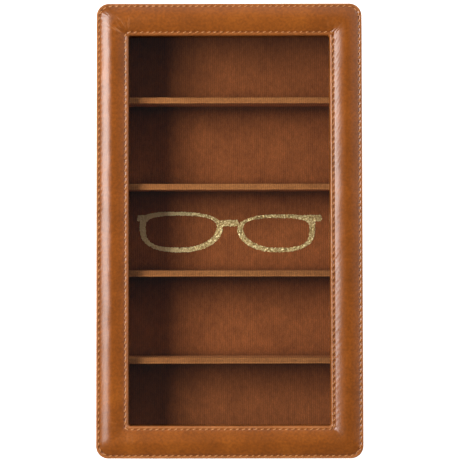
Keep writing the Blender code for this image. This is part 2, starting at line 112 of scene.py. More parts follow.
# Wear and painted light along the lip and the edge: its amount, how much that differs between opposite sides
# (painted light, lighter on the side that faces the lights), its inset from the line, and its width
LIP_WEAR_AND_LIGHT = (0.26, 0.1, -1.2 * MM, 1.0 * MM)
EDGE_WEAR_AND_LIGHT = (0.42, 0.16, 0.5 * MM, 1.1 * MM)
CREASE_WEAR = 0.3
WEAR_CHANGE = (0.2, 18 * MM)
WEAR_WAVES = 5
# Painted shade on the lip's turned-down face
TURNED_SHADE = 0.2
SAME_PLACE = 0.01 * MM
CORNER_REACH = 1 * MM

# Swells of soft surfaces: height and wavelength
SOFT_SWELLS = ((0.05 * MM, 30 * MM), (0.02 * MM, 8 * MM))
SKIN_SWELL = (0.05 * MM, 24 * MM)
WALL_SWELL = (0.06 * MM, 22 * MM)
FOAM_SWELL = (0.04 * MM, 6 * MM)
DIVIDER_SWELL = (0.06 * MM, 21 * MM)

# Foam ring
FOAM_MARGIN = 1.4 * MM
FOAM_EASING = 0.45 * MM
FOAM_LEAST = 0.08 * MM
FOAM_ROWS = 15

# Leather strips and linings
BASE_CORNER = 7.4 * MM
LEAST_CORNER = 0.5 * MM
OUTER_FACE = 0.3 * MM
TOOLED_DEPTH = 0.22 * MM
TOOLED_WIDTH = 0.35 * MM
TOOLED_SHADE = (0.3, 0.4 * MM)
LID_TOOLED = 2.2 * MM
RIM_TOOLED, FOOT_TOOLED = 3.2 * MM, 3.4 * MM
STRIP_CORNERS = (0.75 * MM, 0.3 * MM, 0, 0)
LINING_WIDTH = 20 * MM
LINING_CORNERS = (0.3 * MM, 0, 0, 0.4 * MM)
BASE_TURN_IN = 12 * MM
BASE_CORNERS = (0, 0.9 * MM, 0.9 * MM, 0.45 * MM, 0.3 * MM, 0, 0, 0)
HINGE_ROOM_LOW = Vector((3, 0.3, 0.15)) * MM
HINGE_ROOM_HIGH = Vector((0.3, 0.3, 0.1)) * MM

# Compartment floors: painted shadow (shade, how far it reaches) in front of each divider and the back wall,
# and painted shade in the tucks beside them
FLOOR_PAINTED_SHADOW = ((0.24, 7 * MM), (0.62, 6.5 * MM), (0.5, 4.5 * MM), (0.6, 5 * MM), (0.46, 18 * MM))
FLOOR_SHADOW_START = 1.2 * MM
FAR_PAINTED_SHADOW = (0.2, 12 * MM)
DARKEST_PAINTED_SHADE = 0.12
TUCK_DEPTH = 1.1 * MM
TUCK_WIDTH = 2.4 * MM
TUCK_SHADE = 0.3

# Dividers: how much painted shade darkens the top of each, and the wrap's bends
DIVIDERS = range(1, 5)
DIVIDER_TOP_SHADE = (0.4, 0.42, 0.29, 0.29)
DIVIDER_SOFT_TOP = 2 * MM
DIVIDER_TOP = 1.4 * MM
DIVIDER_EDGE = 1 * MM
DIVIDER_BEND = 1.25 * MM
DIVIDER_INNER_BEND = 0.5 * MM
DIVIDER_EASING = 0.25 * MM
# Painted shade towards each divider's foot: its strength and how far up it fades
DIVIDER_FOOT = (0.35, 4 * MM)
DIVIDER_WAVER = (0.02, 17 * MM)
DIVIDER_SLIM = 0.985
DIVIDER_OUTSIDE = 0.1 * MM
DIVIDER_STATIONS = 110

# Spectacles sign
# Bars are (start, end, height). Spans are (half width, rise, drop) from a lens's widest line. Fullness
# is for the upper outer, upper nose, lower outer and lower nose quarters: 2 is an ellipse, more is squarer
SIGN_RIM_SPAN = np.array((29.8, 10.7, 18.3)) * MM
SIGN_RIM_FULLNESS = (3.6, 2.1, 2.6, 2.1)
SIGN_HOLE_SPAN = np.array((25.4, 8.0, 14.9)) * MM
SIGN_HOLE_FULLNESS = (3.0, 2.5, 3.2, 2.0)
SIGN_LEFT_LENS = (-34.5 * MM, 2.9 * MM, 1.0)
SIGN_RIGHT_LENS = (33.6 * MM, 1.7 * MM, 0.935)
SIGN_BAR_STROKE = 4.5 * MM
SIGN_BAR_CORNER = 1.3 * MM
SIGN_BRIDGE = np.array((-6.6, 6.6, 5.5)) * MM
SIGN_TEMPLE = np.array((52.1, 66.1, 8.9)) * MM
SIGN_STEP = 0.4 * MM
SIGN_MARGIN = 1.5 * MM
FOIL_GAP = 0.02 * MM
FOIL_THICKNESS = 0.1 * MM
RAGGED_EDGES = ((0.2 * MM, 2.2 * MM), (0.1 * MM, 0.9 * MM))
RAGGED_WAVES = 12
MISSED_SPECKS = (1.6 * MM, 2.4 * MM)
SPECK_WAVES = 14
SPECK_RARITY = 2.96 * MM
# Painted light on the foil, lighter towards its left end: its levels at these x places
PAINTED_LIGHT_PLACES = np.array((-66, -42, -18)) * MM
PAINTED_LIGHT_LEVELS = (0.8, 0.9, 0.0)

# Felt
FELT_CORNER = 4.2 * MM
FELT_EDGE = 1.5 * MM
FELT_ROUND = 0.3 * MM

# Waves: how much their lengths differ
WAVE_SPREAD = (0.6, 1.6)

# Camera
CAMERA_LENS = 138.4
CAMERA_SENSOR = 36
CAMERA_DISTANCE = 1.228
CAMERA_NADIR = -18.3 * MM
CAMERA_TILT = math.radians(2.2)
CAMERA_ROLL = math.radians(-0.09)
CAMERA_SHIFT = (0.0013, -0.0905)
CAMERA_CLIP = (0.05, 20)

# Floor and lights
FLOOR_REACH = 6
FLOOR_GLOW = 0.85
LIGHT_X, LIGHT_HEIGHT, LIGHT_AIM = -0.81, 1.06, 0.06

# Softboxes at the left: name, nearest and farthest y, width, radiance
SOFTBOXES = (
    ("key_softbox", 0.06, 0.74, 0.55, 15),
    ("key_softbox_middle", -0.10, 0.06, 0.55, 13),
    ("key_softbox_front", -0.34, -0.10, 0.42, 8.5),
)

# Glow of the room: the direction it depends on, (how far that way, brightness) twice, tint
ROOM_GLOWS = (
    ((0, 0, 1), ((0.1, 0.34), (0.6, 0.13)), (1.0, 1.0, 1.06)),
    ((1, 1, 0), ((0.5, 0.0), (0.76, 0.68)), (1, 0.98, 0.96)),
    ((1, 0.5, 0), ((0.8, 0.0), (1.0, 1.1)), (1, 0.95, 0.9)),
)

# Mesh fineness
FINE_STEP = 0.9 * MM
SKIN_STEP = 1.6 * MM
FLOOR_STEP = 1.4 * MM
WALL_STEP = 2 * MM
COARSE_STEP = 3 * MM
FOAM_STEP = 2.5 * MM
CORNER_STEPS = 44
SHEET_SHARPNESS, WRAP_SHARPNESS = math.radians(50), math.radians(60)

rng = np.random.default_rng(5)


def inset_box(node):
    """Half width and half length of a node, and its lowest and highest points."""
    low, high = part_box(node)
    return (high.x - low.x) / 2, (high.y - low.y) / 2, low.z, high.z


LID_HALF_X, LID_HALF_Y, LEATHER_LOW, _ = inset_box("lid_top_leather")
LID_HALF = (LID_HALF_X, LID_HALF_Y)
_, _, LID_SIDE_LOW, LID_SIDE_HIGH = inset_box("lid_side_leather")
BASE_HALF_X, BASE_HALF_Y, BASE_LOW, RIM_TOP = inset_box("base_side_leather")
DIVIDER_HALF = inset_box("divider_1_suede")[1]
INNER_ROW_X = inset_box("inner_stitching")[0]
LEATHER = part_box("lid_under_lining")[1].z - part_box("lid_under_lining")[0].z
EDGE_TOP = LID_SIDE_HIGH + TOP_EASING + LEATHER
INNER_STITCH = LID_HALF_X - INNER_ROW_X + THREAD_RING_HALF
BORDER = INNER_STITCH + LIP_END


# ---- materials

def tone(red, green, blue):
    """Linear colour from 0 to 255 values as seen."""
    values = np.array((red, green, blue)) / 255
    low = values / 12.92
    high = ((values + 0.055) / 1.055) ** 2.4
    return (*np.where(values <= 0.04045, low, high).tolist(), 1.0)


class Nodes:
    """The nodes behind a material or the room's glow."""

    def __init__(self, data):
        data.use_nodes = True
        self.tree = data.node_tree

    def node(self, kind, **settings):
        """Add a node, set its properties, and set or link its sockets, given by index or name."""
        made = self.tree.nodes.new("ShaderNode" + kind)
        sockets = settings.pop("sockets", {})
        for setting, value in settings.items():
            setattr(made, setting, value)
        for key, value in sockets.items():
            if isinstance(value, bpy.types.NodeSocket):
                self.tree.links.new(value, made.inputs[key])
            else:
                made.inputs[key].default_value = value
        return made

    def ramp(self, value, *stops):
        """Colours or numbers along a value."""
        made = self.node("ValToRGB", sockets={0: value})
        elements = made.color_ramp.elements
        while len(elements) < len(stops):
            elements.new(0.5)
        for element, (place, colour) in zip(elements, stops):
            element.position = place
            element.color = colour if isinstance(colour, tuple) else (colour, colour, colour, 1)
        return made.outputs[0]

    def mix(self, factor, first, second, blend="MIX"):
        """Blend two colours."""
        return self.node("MixRGB", blend_type=blend, sockets={0: factor, 1: first, 2: second}).outputs[0]


class Finish(Nodes):
    """A Principled material."""

    def __init__(self, name, **sockets):
        self.material = bpy.data.materials.new(name)
        super().__init__(self.material)
        self.shader = self.tree.nodes["Principled BSDF"]
        self.coordinates = self.node("TexCoord").outputs["Object"]
        for socket, value in sockets.items():
            self.shader.inputs[socket.replace("_", " ")].default_value = value

    def stretched(self, scale):
        """Object coordinates times a scale for each axis."""
        return self.node("Mapping", sockets={"Vector": self.coordinates, "Scale": scale}).outputs[0]

    def noise(self, scale, detail=3.0, roughness=0.55, stretch=(1, 1, 1), distortion=0.0):
        """Noise of about 1/scale metres, longer along an axis where stretch is small."""
        return self.node("TexNoise", sockets={
            "Vector": self.stretched(stretch), "Scale": scale, "Detail": detail,
            "Roughness": roughness, "Distortion": distortion,
        }).outputs["Fac"]

    def cells(self, scale, feature="F1", stretch=(1, 1, 1)):
        """Distance in a cell pattern of about 1/scale metres."""
        return self.node("TexVoronoi", feature=feature, sockets={
            "Vector": self.stretched(stretch), "Scale": scale,
        }).outputs["Distance"]

    def bands(self, direction, scale, distortion, detail, detail_scale=1.0):
        """Wavy bands across a direction."""
        return self.node("TexWave", bands_direction=direction, sockets={
            "Vector": self.coordinates, "Scale": scale, "Distortion": distortion, "Detail": detail,
            "Detail Scale": detail_scale,
        }).outputs["Fac"]

    def attribute(self, name):
        """A value stored on the mesh's points."""
        return self.node("Attribute", attribute_name=name).outputs["Fac"]

    def math(self, operation, first, second=0.0):
        """Arithmetic on one or two values."""
        return self.node("Math", operation=operation, sockets={0: first, 1: second}).outputs[0]

    def between(self, value, low, high):
        """Value from 0 to 1, carried to the range low to high."""
        return self.node("MapRange", sockets={"Value": value, "To Min": low, "To Max": high}).outputs[0]

    def bump(self, height, distance, strength=1.0, normal=None):
        """Raise the surface by height times distance."""
        sockets = {"Height": height, "Distance": distance, "Strength": strength}
        if normal:
            sockets["Normal"] = normal
        return self.node("Bump", sockets=sockets).outputs[0]

    def tinted(self, amount, colour, value, *stops):
        """A colour times the ramp of a value."""
        return self.mix(amount, colour, self.ramp(value, *stops), "MULTIPLY")

    def use(self, colour, roughness=None, relief=None):
        """Link a colour, a roughness and a relief to the shader."""
        for socket, output in (("Base Color", colour), ("Roughness", roughness), ("Normal", relief)):
            if output:
                self.tree.links.new(output, self.shader.inputs[socket])
        return self.material


def leather_finish(name):
    """Waxed cognac leather: cloudy colour, fine pebbled grain, and a soft shine."""
    finish = Finish(name, Coat_Weight=0.84, Coat_Roughness=0.25, Coat_IOR=1.5, Specular_IOR_Level=0.22)
    finish.shader.inputs["Specular Tint"].default_value = tone(255, 176, 92)
    clouds = finish.noise(30, detail=5, distortion=0.5)
    browns = ((0.3, tone(119, 61, 13)), (0.52, tone(133, 69, 15)), (0.74, tone(148, 80, 20)))
    colour = finish.ramp(clouds, *browns)
    mottle = finish.noise(560, detail=4, roughness=0.65)
    colour = finish.tinted(0.85, colour, mottle, (0.36, 0.79), (0.5, 0.99), (0.64, 1.19))
    colour = finish.tinted(0.3, colour, finish.cells(1500), (0.02, 0.7), (0.16, 1.0))
    # Painted shade from the stored values in the stitch channels and holes and on the lip's turned-down face;
    # the tooled lines are darker too
    colour = finish.tinted(1.0, colour, finish.attribute("shade"), (0.0, 0.05), (1.0, 1.0))
    # Wear and painted light: lighter lip and edges, more so on the sides that face the lights
    colour = finish.mix(finish.attribute("wear"), colour, tone(206, 140, 88))
    relief = finish.bump(finish.cells(900, "SMOOTH_F1"), 0.05 * MM)
    relief = finish.bump(finish.noise(2400, detail=2), 0.02 * MM, normal=relief)
    relief = finish.bump(finish.noise(170, detail=4), 0.16 * MM, normal=relief)
    return finish.use(colour, finish.between(finish.noise(90, detail=3), 0.42, 0.6), relief)


def suede_finish(name, dark, light, grain):
    """Napped suede cloth with faint cords. Its grain is longer along an axis where its value is small."""
    finish = Finish(name, Sheen_Weight=0.04, Sheen_Roughness=0.5, Specular_IOR_Level=0.1)
    finish.shader.inputs["Sheen Tint"].default_value = tone(190, 120, 70)
    streaks = finish.noise(620, detail=3, roughness=0.65, stretch=grain)
    cords = finish.bands("X", 210, 2.5, detail=2, detail_scale=3)
    nap = finish.noise(40, detail=5, distortion=0.6)
    fibre = finish.noise(1300, detail=4, roughness=0.7)
    colour = finish.ramp(nap, (0.3, dark), (0.72, light))
    colour = finish.tinted(1.0, colour, streaks, (0.34, 0.84), (0.66, 1.14))
    colour = finish.tinted(1.0, colour, cords, (0.1, 0.84), (0.9, 1.1))
    colour = finish.tinted(1.0, colour, fibre, (0.3, 0.76), (0.7, 1.2))
    # Painted shade from the stored values: the floor's tucks, the shadows in front of dividers and walls, and
    # the dividers' feet and tops
    colour = finish.tinted(1.0, colour, finish.attribute("shade"), (0.0, 0.1), (1.0, 1.0))
    relief = finish.bump(streaks, 0.16 * MM)
    relief = finish.bump(fibre, 0.10 * MM, normal=relief)
    return finish.use(colour, finish.between(nap, 0.86, 0.98), relief)


def thread_finish():
    """Waxed linen thread with twisted plies."""
    finish = Finish("waxed_thread", Specular_IOR_Level=0.2)
    plies = finish.bands("DIAGONAL", 900, 1.2, detail=1)
    colour = finish.ramp(plies, (0.1, tone(172, 108, 60)), (0.8, tone(216, 154, 98)))
    colour = finish.tinted(0.6, colour, finish.noise(300), (0.3, 0.85), (0.7, 1.08))
    return finish.use(colour, finish.between(plies, 0.65, 0.5), finish.bump(plies, 0.1 * MM))


def foil_finish():
    """Hot-stamped gold foil, mottled by the cloth under it, with painted light that makes it lighter and
    smoother towards its left end.
    """
    finish = Finish("gold_foil", Metallic=0.75, Specular_IOR_Level=0.7)
    crackle = finish.cells(1000, "DISTANCE_TO_EDGE")
    blotch = finish.noise(900, detail=2, roughness=0.6)
    golds = ((0.34, tone(156, 127, 74)), (0.5, tone(191, 161, 103)), (0.66, tone(248, 226, 170)))
    colour = finish.ramp(blotch, *golds)
    # Painted light: lighter, smoother gold towards the foil's left end
    colour = finish.mix(finish.attribute("gleam"), colour, tone(255, 228, 168))
    colour = finish.tinted(0.5, colour, crackle, (0.0, 0.7), (0.12, 1.0))
    relief = finish.bump(finish.noise(700, detail=2), 0.8 * MM)
    relief = finish.bump(finish.noise(1500, detail=2), 0.25 * MM, normal=relief)
    return finish.use(colour, finish.between(blotch, 0.42, 0.26), relief)


def glass_finish():
    """Clear float glass that lets light down to the compartments."""
    finish = Finish("window_glass", Transmission_Weight=1.0, IOR=1.5)
    smear = finish.noise(14, detail=4, roughness=0.6)
    colour = finish.ramp(smear, (0.3, (0.955, 0.97, 0.965, 1)), (0.7, (0.985, 0.99, 0.985, 1)))
    finish.use(colour, finish.between(smear, 0.004, 0.02))
    path = finish.node("LightPath")
    unseen = finish.math("MAXIMUM", path.outputs["Is Shadow Ray"], path.outputs["Is Diffuse Ray"])
    unseen = finish.math("MAXIMUM", unseen, path.outputs["Is Glossy Ray"])
    clear = finish.node("BsdfTransparent", sockets={0: (0.93, 0.94, 0.935, 1)}).outputs[0]
    both = finish.node("MixShader", sockets={0: unseen, 1: finish.shader.outputs[0], 2: clear}).outputs[0]
    finish.tree.links.new(both, finish.tree.nodes["Material Output"].inputs["Surface"])
    return finish.material


def fibreboard_finish():
    """Pressed wood fibres."""
    finish = Finish("fibreboard", Specular_IOR_Level=0.25)
    fibres = finish.noise(700, detail=6, roughness=0.7)
    colour = finish.ramp(fibres, (0.3, tone(140, 108, 72)), (0.7, tone(188, 156, 116)))
    colour = finish.tinted(0.6, colour, finish.noise(1500, detail=2), (0.35, 0.7), (0.5, 1.0))
    return finish.use(colour, finish.between(fibres, 0.75, 0.92), finish.bump(fibres, 0.15 * MM))


def foam_finish():
    """Open-celled upholstery foam."""
    finish = Finish("cream_foam", Specular_IOR_Level=0.2)
    cells = finish.cells(1400)
    colour = finish.ramp(cells, (0.05, tone(178, 166, 132)), (0.35, tone(232, 225, 200)))
    return finish.use(colour, finish.between(cells, 0.85, 0.98), finish.bump(cells, 0.3 * MM))


def felt_finish():
    """Pressed wool felt."""
    finish = Finish("brown_felt", Sheen_Weight=0.05, Sheen_Roughness=0.6, Specular_IOR_Level=0.1)
    fibres = finish.noise(900, detail=8, roughness=0.75, distortion=1.5)
    colour = finish.ramp(fibres, (0.3, tone(46, 28, 19)), (0.7, tone(88, 60, 44)))
    return finish.use(colour, finish.between(fibres, 0.9, 1.0), finish.bump(fibres, 0.4 * MM))


def metal_finish(name, dark, light, low, high, stretch=(1, 0.04, 1)):
    """Metal with a drawn grain and a little tarnish."""
    finish = Finish(name, Metallic=1.0)
    grain = finish.noise(2500, detail=2, stretch=stretch)
    tarnish = finish.noise(160, detail=5, roughness=0.6)
    colour = finish.ramp(tarnish, (0.3, dark), (0.65, light))
    colour = finish.tinted(0.4, colour, grain, (0.3, 0.85), (0.7, 1.08))
    return finish.use(colour, finish.between(tarnish, high, low), finish.bump(grain, 0.02 * MM))


FINISHES = {
    "lid_leather": leather_finish("cognac_leather_padded"),
    "side_leather": leather_finish("cognac_leather_sides"),
    "lining": suede_finish("brown_suede", tone(131, 72, 35), tone(151, 85, 43), (1, 0.4, 0.5)),
    "divider": suede_finish("tan_suede", tone(173, 107, 58), tone(193, 125, 71), (0.9, 1, 1)),
    "thread": thread_finish(),
    "foil": foil_finish(),
    "glass": glass_finish(),
    "fibreboard": fibreboard_finish(),
    "foam": foam_finish(),
    "felt": felt_finish(),
    "brass": metal_finish("satin_brass", tone(150, 112, 58), tone(206, 170, 104), 0.24, 0.42),
    "steel": metal_finish("plain_steel", tone(128, 130, 134), tone(186, 188, 190), 0.3, 0.5),
    "nickel": metal_finish("nickel_plating", tone(150, 150, 150), tone(206, 204, 198), 0.12, 0.26, (1, 1, 1)),
}


# ---- mesh helpers

def add_object(name, data):
    """Put data into the scene as an object."""
    made = bpy.data.objects.new(name, data)
    bpy.context.scene.collection.objects.link(made)
    return made


def make_piece(name, points, faces, finish, body, node, smooth=True, **values):
    """Make a mesh piece that rides on a body and replaces a node, with values stored on its points."""
    mesh = bpy.data.meshes.new(name)
    mesh.from_pydata(np.asarray(points).reshape(-1, 3).tolist(), [], [tuple(face) for face in faces])
    for key, value in values.items():
        stored = mesh.attributes.new(key, "FLOAT", "POINT")
        stored.data.foreach_set("value", np.asarray(value, np.float32).ravel())
    mesh.materials.append(FINISHES[finish])
    piece = add_object(name, mesh)
    work = bmesh.new()
    work.from_mesh(mesh)
    bmesh.ops.recalc_face_normals(work, faces=work.faces)
    work.to_mesh(mesh)
    work.free()
    if smooth:
        mesh.shade_smooth()
    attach(piece, body)
    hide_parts(node)
    return piece


def tube_faces(rows, around):
    """Quads of a surface of rows of points, closed along the rows and across them."""
    row, spot = np.meshgrid(np.arange(rows), np.arange(around), indexing="ij")
    next_row = (row + 1) % rows
    next_spot = (spot + 1) % around
    quads = (row * around + spot, row * around + next_spot,
             next_row * around + next_spot, next_row * around + spot)
    return np.stack(quads, axis=-1).reshape(-1, 4)


def capped_faces(rows, around):
    """Faces of rows of points that are closed along each row, with a flat face at either end."""
    faces = tube_faces(rows, around)[: (rows - 1) * around].tolist()
    return faces + [list(range(around)), list(range((rows - 1) * around, rows * around))[::-1]]


def doubled_faces(faces, count):
    """Faces of a thin sheet: its show side, its back, whose points come count later, and its rim."""
    edges = {(here, there) for face in faces for here, there in zip(face, face[1:] + face[:1])}
    rim = [(a, b, b + count, a + count) for a, b in sorted(edges) if (b, a) not in edges]
    return faces + [[spot + count for spot in reversed(face)] for face in faces] + rim


def loop_points(half_x, half_y, corner, step):
    """Points round a rectangle with round corners. Their number is the same for every size."""
    signs = ((1, 1), (-1, 1), (-1, -1), (1, -1))
    arcs = []
    for quarter, sign in enumerate(signs):
        centre = np.array(sign) * (half_x - corner, half_y - corner)
        angle = (quarter + np.linspace(0, 1, CORNER_STEPS + 1)) * math.pi / 2
        arcs.append(centre + corner * np.column_stack((np.cos(angle), np.sin(angle))))
    points = []
    for quarter, arc in enumerate(arcs):
        start, end = arc[-1], arcs[(quarter + 1) % len(arcs)][0]
        steps = round(2 * LID_HALF[quarter % 2] / step)
        share = np.arange(1, steps)[:, None] / steps
        points += [arc, start + (end - start) * share]
    return np.concatenate(points)


def arc_lengths(points):
    """Distance along a closed loop to each of its points, and the loop's length."""
    gaps = np.linalg.norm(np.roll(points, -1, axis=0) - points, axis=1)
    return np.concatenate(([0], np.cumsum(gaps)[:-1])), gaps.sum()


def swept_ring(profile, half, corners, step):
    """Points of a ring: one loop for each (inset, height) of the profile."""
    rows = []
    for (inset, height), corner in zip(profile, corners):
        flat = loop_points(half[0] - inset, half[1] - inset, corner, step)
        rows.append(np.column_stack((flat, np.full(len(flat), height))))
    return np.array(rows)


def waves(x, y, size, count=9):
    """Smooth unevenness of a (height, wavelength), the same on every run."""
    height, wavelength = size
    total = np.zeros_like(x)
    for _ in range(count):
        angle = rng.uniform(0, 2 * math.pi)
        number = 2 * math.pi / (wavelength * rng.uniform(*WAVE_SPREAD))
        phase = rng.uniform(0, 2 * math.pi)
        total += np.sin(number * (x * math.cos(angle) + y * math.sin(angle)) + phase)
    return height * total / math.sqrt(count)


def bell(distance, width):
    """One at no distance, fading out over a width."""
    return np.exp(-(distance / width) ** 2)


def cut_away(piece, low, high):
    """Cut a box out of a piece."""
    cutter = add_object("cutter", bpy.data.meshes.new("cutter"))
    work = bmesh.new()
    place = Matrix.Translation((low + high) / 2) @ Matrix.Diagonal((*(high - low), 1))
    bmesh.ops.create_cube(work, size=1, matrix=place)
    work.to_mesh(cutter.data)
    work.free()
    modifier = piece.modifiers.new("cut", "BOOLEAN")
    modifier.object = cutter
    modifier.operation = "DIFFERENCE"
    evaluated = piece.evaluated_get(bpy.context.evaluated_depsgraph_get())
    cut = bpy.data.meshes.new_from_object(evaluated)
    piece.modifiers.clear()
    piece.data = cut
    bpy.data.objects.remove(cutter)


# ---- stitching

def stitch_line(inset):
    """A stitch line seen from above: its points, how far along each lies, its length and its pitch."""
    line = loop_points(LID_HALF_X - inset, LID_HALF_Y - inset, lid_corner(inset), FINE_STEP)
    lengths, total = arc_lengths(line)
    return line, lengths, total, total / round(total / STITCH_PITCH)


def lean(heading):
    """One along the short sides and minus one along the long ones, so that all stitches lean one way."""
    return np.cos(2 * heading)


def build_stitches(name, inset, node):
    """A row of slanted saddle stitches, each a short arched thread that dips into its two holes."""
    line, lengths, total, pitch = stitch_line(inset)

    def place(distance):
        return np.array([np.interp(distance, lengths, line[:, axis], period=total) for axis in (0, 1)])

    around = np.arange(THREAD_SIDES) * 2 * math.pi / THREAD_SIDES
    thread = np.arange(THREAD_RINGS) * 2 / (THREAD_RINGS - 1) - 1
    one_stitch = capped_faces(THREAD_RINGS, THREAD_SIDES)
    points, faces = [], []
    for number in range(round(total / pitch)):
        spot = (number + 0.5) * pitch
        forward = place(spot + pitch / 4) - place(spot - pitch / 4)
        heading = math.atan2(forward[1], forward[0])
        heading += STITCH_SLANT * lean(heading) * rng.uniform(*SLANT_RANGE)
        reach = STITCH_LENGTH * rng.uniform(*LENGTH_RANGE)
        lift = STITCH_LIFT * rng.uniform(*LIFT_RANGE)
        direction = np.array((math.cos(heading), math.sin(heading), 0))
        across = np.array((-direction[1], direction[0], 0))
        middle = np.array((*place(spot), top_height(inset) - CHANNEL_DEPTH))
        section = np.outer(np.cos(around), across) + np.outer(np.sin(around), (0, 0, THREAD_FLATNESS))
        for share in thread:
            arch = lift * (1 - abs(share) ** 3) - STITCH_DIP
            width = THREAD_RADIUS * (1 - THREAD_TAPER * abs(share) ** 3)
            offset = direction * share * reach / 2 + np.array((0, 0, arch))
            points.append(middle + offset + width * section)
        first = number * THREAD_RINGS * THREAD_SIDES
        faces += [[first + spot for spot in face] for face in one_stitch]
    row = make_piece(name, np.concatenate(points), faces, "thread", "lid", node)


# ---- lid

def lid_corner(inset):
    """Corner radius of the lid's leather at an inset: it tightens evenly from the edge to the window."""
    return LID_CORNER + (WINDOW_CORNER - LID_CORNER) * min(inset / BORDER, 1)


def crown(inset):
    """Rise of the padded leather between its stitch lines."""
    across = 2 * (inset - STITCH_MARGIN) / (INNER_STITCH - STITCH_MARGIN) - 1
    power = np.where(across < 0, OUTER_CROWN_POWER, INNER_CROWN_POWER)
    return CROWN_RISE * np.clip(1 - np.abs(across) ** power, 0, None)


def top_height(inset):
    """Height of the leather's show side: its crown, and a slight fall over its outer half."""
    across = 2 * (inset - STITCH_MARGIN) / (INNER_STITCH - STITCH_MARGIN)
    return EDGE_TOP + INNER_RISE * np.clip(across, 0, 1) + crown(inset)


def lid_leather_profile():
    """(inset, height) points round the leather's cut face, and how many of them lie on its show side."""
    edge = []
    for angle in np.linspace(math.pi / 2, 0, EDGE_BENDS):
        edge.append((EDGE_ROUND * (1 - math.sin(angle)), EDGE_TOP - EDGE_ROUND * (1 - math.cos(angle))))
    first, last, rows = MIDDLE_ROWS
    middle = np.linspace(first, INNER_STITCH + last, rows)
    top = [(inset, top_height(inset)) for inset in (*OUTER_ROWS, *middle, *(INNER_STITCH + INNER_ROWS))]
    lip_top = top_height(BORDER)
    lip_start = INNER_STITCH + LIP_START
    lip = []
    for angle in np.linspace(0, math.pi / 2, LIP_BENDS)[1:]:
        lip.append((lip_start + (BORDER - lip_start) * math.sin(angle),
                    lip_top - LIP_DROP * (1 - math.cos(angle))))
    down_rows = np.linspace(lip_top - LIP_DROP, LEATHER_LOW, LIP_DOWN_ROWS)[1:]
    down = [(BORDER, height) for height in down_rows]
    show = [(0, EDGE_TOP - EDGE_DEPTH * LEATHER), *edge, *top, *lip, *down]
    inner_face = BORDER - LEATHER
    under = [(inner_face, LEATHER_LOW), (inner_face, EDGE_TOP - 2 * LEATHER)]
    first, rows = UNDER_ROWS
    under += [(inset, EDGE_TOP - UNDER_CROWN * LEATHER + crown(inset)) for inset in
              np.linspace(INNER_STITCH - first, STITCH_MARGIN, rows)]
    under += [(TOP_EASING, EDGE_TOP - LEATHER)]
    return show + under, len(show)


def crease_depth(x, y):
    """Fine creases that fan out from the window's corners over the padding."""
    depth = np.zeros_like(x)
    height, place = CREASE_RIDGE
    for side_x, side_y, strength in CREASE_CORNERS:
        from_x = (x - side_x * (LID_HALF_X - BORDER)) * side_x
        from_y = (y - side_y * (LID_HALF_Y - BORDER)) * side_y
        for _ in range(CREASES_PER_CORNER):
            angle, start, length, width, bend, deep = [rng.uniform(*span) for span in CREASE_RANGES]
            start, length, width = start * MM, length * MM, width * MM
            cos, sin = math.cos(math.radians(angle)), math.sin(math.radians(angle))
            along = from_x * cos + from_y * sin
            across = -from_x * sin + from_y * cos + bend * (along - start) ** 2
            share = np.clip((along - start) / length, 0, 1)
            fold = bell(across, width) - height * bell(np.abs(across) - place * width, width)
            depth += strength * deep * CREASE_DEPTH * fold * np.sin(math.pi * share)
    return depth


def wear_and_light_line(insets, line, wear, side, near_edge):
    """Wear and painted light along a line of the leather, which differs between the two sides of the lid: the
    painted light makes it lighter on the side that faces the lights.
    """
    amount, change, offset, width = wear
    return (amount - change * np.sign(side) * near_edge) * bell(insets - line - offset, width)


